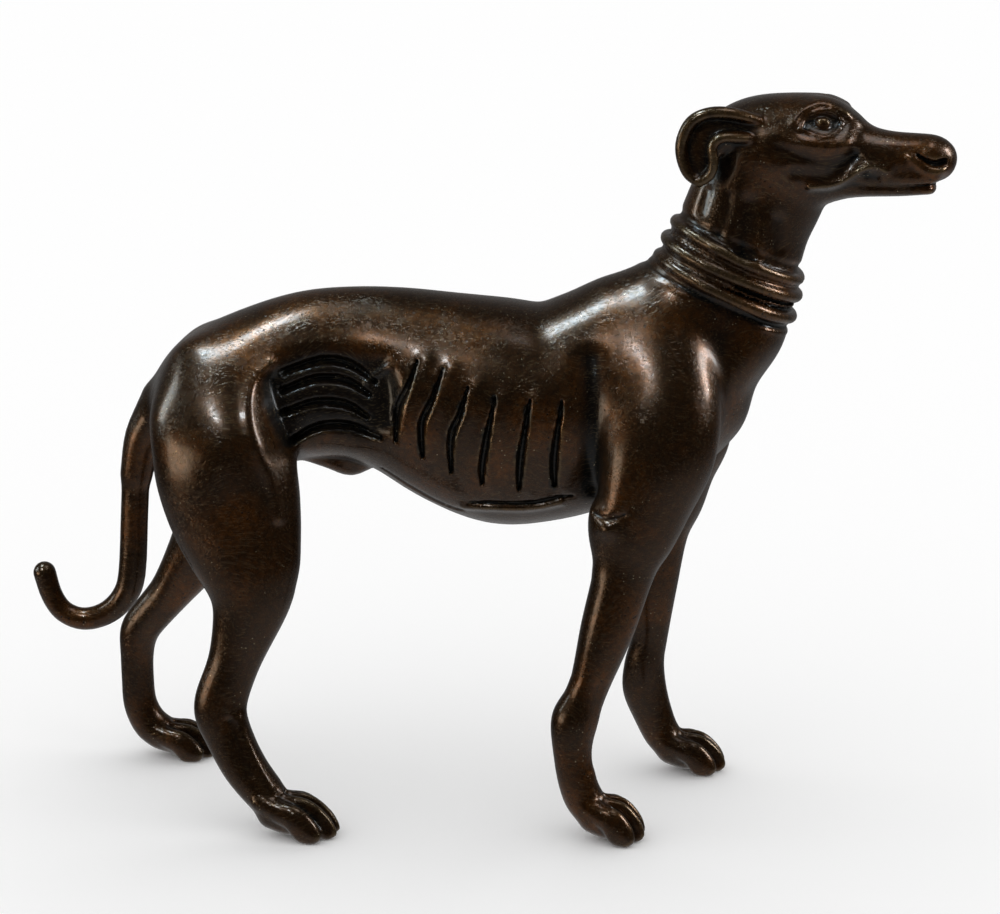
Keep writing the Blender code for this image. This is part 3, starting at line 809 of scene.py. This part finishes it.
def modelGreyhound():
    clay = Clay(clayBlock["grain"])
    modelBody(clay)
    print("body masses modelled", clay.field.shape)
    modelDetails(clay)
    np.clip(clay.field, -clayBlock["trusted"], clayBlock["trusted"], out=clay.field)
    soften(clay.field, 0.3 / clay.grain)
    print("details modelled")
    uncarved = clay.field.copy()
    carveFlanks(clay)
    carveFace(clay)
    carveNeck(clay)
    clay.carved = clay.field - uncarved  # painted shade, over gathered patina, goes where the skin was cut back
    standOnFloor(clay)
    print("carving done")
    points, faces = castSurface(clay)
    print("cast:", len(points), "points")
    return clay, points, faces


def buildMesh(name, clay, points, faces):
    mesh = bpy.data.meshes.new(name)
    mesh.from_pydata((points * mm).tolist(), [], faces.tolist())
    casting = bpy.data.objects.new(name, mesh)
    bpy.context.scene.collection.objects.link(casting)
    thin = casting.modifiers.new("thin out", "DECIMATE")
    thin.ratio = min(1, clayBlock["triangles"] / (2 * len(faces)))
    bpy.context.view_layer.update()
    graph = bpy.context.evaluated_depsgraph_get()
    finished = bpy.data.meshes.new_from_object(casting.evaluated_get(graph))
    casting.modifiers.clear()
    casting.data = finished
    bpy.data.meshes.remove(mesh)
    finished.name = name
    coordinates = np.zeros(len(finished.vertices) * 3)
    finished.vertices.foreach_get("co", coordinates)
    points = coordinates.reshape(-1, 3) / mm
    # what the material needs to know of the shape
    for title, values in (
        ("fineRelief", relief(clay, points, 0.7)),
        ("broadRelief", relief(clay, points, 2.4)),
        ("carvedDepth", valueAt(clay, clay.carved, clay.grain, points)),
    ):
        layer = finished.attributes.new(title, "FLOAT", "POINT")
        layer.data.foreach_set("value", values.astype(np.float32))
    finished.shade_smooth()
    print("mesh:", len(finished.polygons), "faces")
    return casting, points


def placeOverCad(casting, points):
    # as tall as the CAD node and no wider or longer, standing on the floor
    low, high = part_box("greyhound")
    start, end = Vector(points.min(0).tolist()), Vector(points.max(0).tolist())
    fit = [(high - low)[i] / (end - start)[i] for i in range(3)]
    size = Vector(min(fit[2], v) for v in fit)
    shift = (low + high) / 2 - (start + end) / 2 * size
    moved = points * np.array(size) + np.array(shift)
    casting.data.vertices.foreach_set("co", moved.ravel())
    casting.data.update()
    print("size", [round(v / mm, 4) for v in size], "shift", [round(v / mm, 2) for v in shift])
    return size.z, shift


clay, points, faces = modelGreyhound()
greyhound, points = buildMesh("greyhoundCasting", clay, points, faces)
size, shift = placeOverCad(greyhound, points)
del clay


def hexToLinear(code):
    channels = [int(code[i : i + 2], 16) / 255 for i in (1, 3, 5)]
    return (*[c / 12.92 if c <= 0.04045 else ((c + 0.055) / 1.055) ** 2.4 for c in channels], 1)


def addNode(tree, kind, settings=None, inputs=None, out=0):
    node = tree.nodes.new(kind)
    for name, value in (settings or {}).items():
        setattr(node, name, value)
    for socket, value in (inputs or {}).items():
        if isinstance(value, bpy.types.NodeSocket):
            tree.links.new(value, node.inputs[socket])
        else:
            node.inputs[socket].default_value = value
    return node.outputs[out] if node.outputs else node


# Cast bronze with a brown liver-of-sulphur patina under wax: deep brown where it is smooth, warmer in clouds,
# nearly black in hollows and pits as gathered patina with painted shade, yellow metal where hands have rubbed
# it.
# Lengths are in mm. A range says where on its noise or relief a layer starts and where it is full,
# and "To Max" how strong it gets there.
bronze = {
    "patina": "#3b240e",
    "warmPatina": "#5c340c",
    "deepPatina": "#22160a",
    # near black of the hollows and pits: painted shade over the patina gathered there
    "hollowShadeAndPatina": "#070605",
    "rubbed": "#7d6a49",
    "fleck": "#b3a588",
    "metallic": 0.86,
    "coat": {"Coat Weight": 0.45, "Coat Roughness": 0.16, "Coat IOR": 1.55},
    "cloud": 16.0,
    "warmRange": {"From Min": 0.46, "From Max": 0.66},
    "mottle": 1.2,
    "deepRange": {"From Min": 0.62, "From Max": 0.4, "To Max": 0.6},
    "fineHollow": {"From Min": -0.03, "From Max": -0.28},
    "broadHollow": {"From Min": -0.03, "From Max": -0.2},
    "carvedHollow": {"From Min": 0.25, "From Max": 1.2, "To Max": 0.92},
    "rubbedRange": {"From Min": 0.42, "From Max": 0.75, "To Max": 0.45},
    "rubbedMottle": 0.35,
    "scratch": (3.0, 0.13),  # length and width; the real hairlines are finer than a pixel
    "scratchRange": {"From Min": 0.64, "From Max": 0.74},
    "scratchTurns": [(0.3, 0.2, 0.5), (1.2, 0.9, -0.6), (-0.7, 1.4, 1.1), (0.9, -1.1, 2.0)],
    "scratchBend": (18.0, 14.0),  # over this length, by this much
    "scratchGlint": 0.2,
    "pit": 0.4,
    "pitRange": {"From Min": 0.17, "From Max": 0.07},
    "pitGroups": {"From Min": 0.5, "From Max": 0.58},
    "speck": 1.0,
    "speckRange": {"From Min": 0.15, "From Max": 0.08, "To Max": 0.7},
    "swarm": 5.0,
    "speckGroups": {"From Min": 0.56, "From Max": 0.62},
    "grain": 1.8,
    "roughness": {"From Min": 0.3, "From Max": 0.7, "To Min": 0.24, "To Max": 0.31},
    "grimeRoughness": 0.25,
    "grainBump": {"Strength": 0.1, "Distance": 0.2 * mm},
    "scratchBump": {"Strength": 0.3, "Distance": 0.05 * mm},
    "pitBump": {"Strength": 0.35, "Distance": 0.12 * mm},
}


def makeBronze():
    material = bpy.data.materials.new("patinatedBronze")
    material.use_nodes = True
    tree = material.node_tree
    tree.nodes.clear()
    noise, ramp, maths, mix = "ShaderNodeTexNoise", "ShaderNodeMapRange", "ShaderNodeMath", "ShaderNodeMix"
    attribute, cells, bump = "ShaderNodeAttribute", "ShaderNodeTexVoronoi", "ShaderNodeBump"
    product, larger = {"operation": "MULTIPLY"}, {"operation": "MAXIMUM"}
    sumUp, fromWhole = {"operation": "MULTIPLY_ADD"}, {"operation": "SUBTRACT"}
    # a colour mix has its share in socket 0, its colours in 6 and 7 and its result in 2
    colours, inward = {"data_type": "RGBA"}, {"invert": True}
    tones = ("patina", "warmPatina", "deepPatina", "hollowShadeAndPatina", "rubbed", "fleck")
    patina, warmPatina, deepPatina, hollowShadeAndPatina, bareMetal, fleck = (hexToLinear(bronze[name]) for name in tones)
    place = addNode(tree, "ShaderNodeTexCoord", out="Object")
    fine = addNode(tree, attribute, {"attribute_name": "fineRelief"}, out="Fac")
    broad = addNode(tree, attribute, {"attribute_name": "broadRelief"}, out="Fac")
    carved = addNode(tree, attribute, {"attribute_name": "carvedDepth"}, out="Fac")

    # clouds of warm and of deep brown
    scale = 1 / (bronze["cloud"] * mm)
    cloud = addNode(tree, noise, None, {"Vector": place, "Scale": scale, "Detail": 3.0})
    scale = 1 / (bronze["mottle"] * mm)
    mottle = addNode(tree, noise, None, {"Vector": place, "Scale": scale, "Detail": 4.0, "Roughness": 0.7})
    warm = addNode(tree, ramp, None, {"Value": cloud, **bronze["warmRange"]})
    deep = addNode(tree, ramp, None, {"Value": mottle, **bronze["deepRange"]})
    colour = addNode(tree, mix, colours, {0: warm, 6: patina, 7: warmPatina}, 2)
    colour = addNode(tree, mix, colours, {0: deep, 6: colour, 7: deepPatina}, 2)

    # painted shade in the hollows, over the patina gathered there: near black
    narrow = addNode(tree, ramp, None, {"Value": fine, **bronze["fineHollow"]})
    wide = addNode(tree, ramp, None, {"Value": broad, **bronze["broadHollow"]})
    deepest = addNode(tree, ramp, None, {"Value": carved, **bronze["carvedHollow"]})
    hollow = addNode(tree, maths, larger, {0: narrow, 1: wide})
    hollow = addNode(tree, maths, larger, {0: hollow, 1: deepest})
    # the hollows are painted near black: shade, over the patina gathered there
    colour = addNode(tree, mix, colours, {0: hollow, 6: colour, 7: hollowShadeAndPatina}, 2)

    # rubbed edges, broken up by the mottle, and none in the grooves
    edge = addNode(tree, maths, sumUp, {0: mottle, 1: bronze["rubbedMottle"], 2: fine})
    rubbed = addNode(tree, ramp, None, {"Value": edge, **bronze["rubbedRange"]})
    clean = addNode(tree, maths, fromWhole, {0: 1.0, 1: deepest})
    rubbed = addNode(tree, maths, product, {0: rubbed, 1: clean})
    colour = addNode(tree, mix, colours, {0: rubbed, 6: colour, 7: bareMetal}, 2)

    # hairline scratches from polishing, in four directions, each bent a little
    over, by = bronze["scratchBend"]
    bend = addNode(tree, noise, None, {"Vector": place, "Scale": 1 / (over * mm), "Detail": 1.0}, "Color")
    bent = addNode(tree, "ShaderNodeVectorMath", sumUp, {0: bend, 1: [by * mm] * 3, 2: place})
    length, width = bronze["scratch"]
    stretch = (1 / (length * mm), 0.5 / (width * mm), 0.5 / (width * mm))
    scratches = None
    for turn in bronze["scratchTurns"]:
        lane = addNode(tree, "ShaderNodeMapping", None, {"Vector": bent, "Rotation": turn, "Scale": stretch})
        line = addNode(tree, noise, None, {"Vector": lane, "Scale": 1.0, "Detail": 1.0})
        line = addNode(tree, ramp, None, {"Value": line, **bronze["scratchRange"]})
        scratches = line if scratches is None else addNode(tree, maths, larger, {0: scratches, 1: line})
    glint = addNode(tree, maths, product, {0: scratches, 1: bronze["scratchGlint"]})
    colour = addNode(tree, mix, colours, {0: glint, 6: colour, 7: bareMetal}, 2)

    # casting pits in scattered groups, painted near black as shade over gathered patina, and pale flecks of
    # dust and bare metal
    pit = addNode(tree, cells, None, {"Vector": place, "Scale": 0.25 / (bronze["pit"] * mm)})
    pit = addNode(tree, ramp, None, {"Value": pit, **bronze["pitRange"]})
    group = addNode(tree, ramp, None, {"Value": cloud, **bronze["pitGroups"]})
    pit = addNode(tree, maths, product, {0: pit, 1: group})
    # the pits are painted near black: shade inside them, over patina
    colour = addNode(tree, mix, colours, {0: pit, 6: colour, 7: hollowShadeAndPatina}, 2)
    speck = addNode(tree, cells, None, {"Vector": place, "Scale": 1 / (bronze["speck"] * mm)})
    speck = addNode(tree, ramp, None, {"Value": speck, **bronze["speckRange"]})
    swarm = addNode(tree, noise, None, {"Vector": place, "Scale": 1 / (bronze["swarm"] * mm), "Detail": 2.0})
    swarm = addNode(tree, ramp, None, {"Value": swarm, **bronze["speckGroups"]})
    speck = addNode(tree, maths, product, {0: speck, 1: swarm})
    colour = addNode(tree, mix, colours, {0: speck, 6: colour, 7: fleck}, 2)

    # the skin of the casting
    scale = 1 / (bronze["grain"] * mm)
    grain = addNode(tree, noise, None, {"Vector": place, "Scale": scale, "Detail": 6.0, "Roughness": 0.6})
    rough = addNode(tree, ramp, None, {"Value": grain, **bronze["roughness"]})
    rough = addNode(tree, maths, sumUp, {0: hollow, 1: bronze["grimeRoughness"], 2: rough})
    normal = addNode(tree, bump, None, {"Height": grain, **bronze["grainBump"]})
    normal = addNode(tree, bump, inward, {"Height": scratches, "Normal": normal, **bronze["scratchBump"]})
    normal = addNode(tree, bump, inward, {"Height": pit, "Normal": normal, **bronze["pitBump"]})
    skin = {"Base Color": colour, "Metallic": bronze["metallic"], "Roughness": rough, "Normal": normal}
    wax = {"Coat Normal": normal, **bronze["coat"]}
    shader = addNode(tree, "ShaderNodeBsdfPrincipled", None, {**skin, **wax})
    addNode(tree, "ShaderNodeOutputMaterial", None, {"Surface": shader})
    return material


greyhound.data.materials.clear()
greyhound.data.materials.append(makeBronze())
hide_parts("greyhound")
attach(greyhound, "root")
print("bronze on")

# Matt white paper that the statue stands on
paper = {"colour": "#fefefe", "size": 30.0}


def layPaper():
    half = paper["size"] / 2
    mesh = bpy.data.meshes.new("paper")
    corners = [(-half, -half, 0), (half, -half, 0), (half, half, 0), (-half, half, 0)]
    mesh.from_pydata(corners, [], [(0, 1, 2, 3)])
    sheet = bpy.data.objects.new("paper", mesh)
    bpy.context.scene.collection.objects.link(sheet)
    material = bpy.data.materials.new("mattPaper")
    material.use_nodes = True
    tree = material.node_tree
    tree.nodes.clear()
    matt = addNode(tree, "ShaderNodeBsdfDiffuse", None, {"Color": hexToLinear(paper["colour"])})
    addNode(tree, "ShaderNodeOutputMaterial", None, {"Surface": matt})
    sheet.data.materials.append(material)
    sheet.visible_glossy = False  # the bronze mirrors the dim room, not the lit paper


layPaper()

# Soft boxes around the statue: bearing in degrees from the camera's side (right is positive), rise in
# degrees, width and height in metres, power in watts
softBoxes = {
    "left": {"bearing": -88, "rise": 20, "size": (0.2, 0.4), "power": 2.3, "tint": (0.74, 0.92, 1.0)},
    "right": {"bearing": 90, "rise": 25, "size": (0.2, 0.36), "power": 5, "tint": (0.9, 0.95, 1.0)},
    "top": {"bearing": -84, "rise": 66, "size": (0.18, 0.18), "power": 3.9, "tint": (0.62, 0.84, 1.0)},
    "front": {"bearing": -31, "rise": 42, "size": (0.08, 0.08), "power": 1.6, "tint": (0.8, 0.92, 1.0)},
    "low": {"bearing": -62, "rise": -4, "size": (0.4, 0.2), "power": 1.2, "tint": (1.0, 0.85, 0.65)},
    "over": {"bearing": 60, "rise": 74, "size": (0.4, 0.3), "power": 1.2, "tint": (0.9, 0.95, 1.0)},
}
boxStands = {"aim": (0, 0, 0.085), "distance": 0.9}  # metres
# Brightness of the studio: on the paper, and as the bronze mirrors it in front, behind and below
room = {
    "fill": 1.25,
    "reflected": 0.015,
    "reflectedBehind": 0.25,
    "reflectedBelow": 0.5,
    "behindRange": {"From Min": 0.3, "From Max": 1.0},
    "belowRange": {"From Min": -0.25, "From Max": -0.6},
}


def hangLights():
    lit = bpy.data.collections.new("lit by the soft boxes")  # the paper has the room's even light alone
    lit.objects.link(greyhound)
    for name, box in softBoxes.items():
        light = bpy.data.lights.new(name + "SoftBox", "AREA")
        light.shape = "RECTANGLE"
        light.size, light.size_y = box["size"]
        light.energy = box["power"]
        light.color = box["tint"]
        lamp = bpy.data.objects.new(name + "SoftBox", light)
        bearing, rise = math.radians(box["bearing"]), math.radians(box["rise"])
        level = math.cos(rise)
        way = Vector((math.sin(bearing) * level, -math.cos(bearing) * level, math.sin(rise)))
        lamp.location = Vector(boxStands["aim"]) + way * boxStands["distance"]
        lamp.rotation_euler = (-way).to_track_quat("-Z", "Y").to_euler()
        bpy.context.scene.collection.objects.link(lamp)
        lamp.light_linking.receiver_collection = lit

    # a bright room for the paper, and a dim one for the bronze to mirror, lighter towards the back
    world = bpy.data.worlds.new("studio")
    world.use_nodes = True
    tree = world.node_tree
    tree.nodes.clear()
    ramp, separate = "ShaderNodeMapRange", "ShaderNodeSeparateXYZ"
    direction = addNode(tree, "ShaderNodeTexCoord", out="Generated")
    back = addNode(tree, separate, None, {"Vector": direction}, "Y")
    height = addNode(tree, separate, None, {"Vector": direction}, "Z")
    ends = {"To Min": room["reflected"], "To Max": room["reflectedBehind"]}
    mirrored = addNode(tree, ramp, None, {"Value": back, **room["behindRange"], **ends})
    ends = {"To Min": 0.0, "To Max": room["reflectedBelow"]}
    below = addNode(tree, ramp, None, {"Value": height, **room["belowRange"], **ends})
    mirrored = addNode(tree, "ShaderNodeMath", {"operation": "MAXIMUM"}, {0: mirrored, 1: below})
    glossy = addNode(tree, "ShaderNodeLightPath", out="Is Glossy Ray")
    strength = addNode(tree, "ShaderNodeMix", None, {0: glossy, 2: room["fill"], 3: mirrored})
    light = addNode(tree, "ShaderNodeBackground", None, {"Strength": strength})
    addNode(tree, "ShaderNodeOutputWorld", None, {"Surface": light})
    bpy.context.scene.world = world
    bpy.context.scene.view_settings.view_transform = "Standard"


hangLights()

# The camera as in the photograph: 5 degrees off the side view and looking down a little.
# Its place is in the clay's millimetres, before the casting was put over the CAD.
view = {"azimuth": 5.0, "pitch": 13.85, "distance": 560, "height": 213.2, "lens": 100.15, "sensor": 36}


def placeCamera():
    camera = bpy.data.cameras.new("camera")
    camera.lens = view["lens"]
    camera.sensor_width = view["sensor"]
    camera.clip_start = 0.01
    stand = bpy.data.objects.new("camera", camera)
    turn, away = math.radians(view["azimuth"]), view["distance"]
    place = Vector((away * math.sin(turn), -away * math.cos(turn), view["height"]))
    stand.location = place * size + shift
    stand.rotation_euler = (math.radians(90 - view["pitch"]), 0, turn)
    bpy.context.scene.collection.objects.link(stand)
    bpy.context.scene.camera = stand


placeCamera()
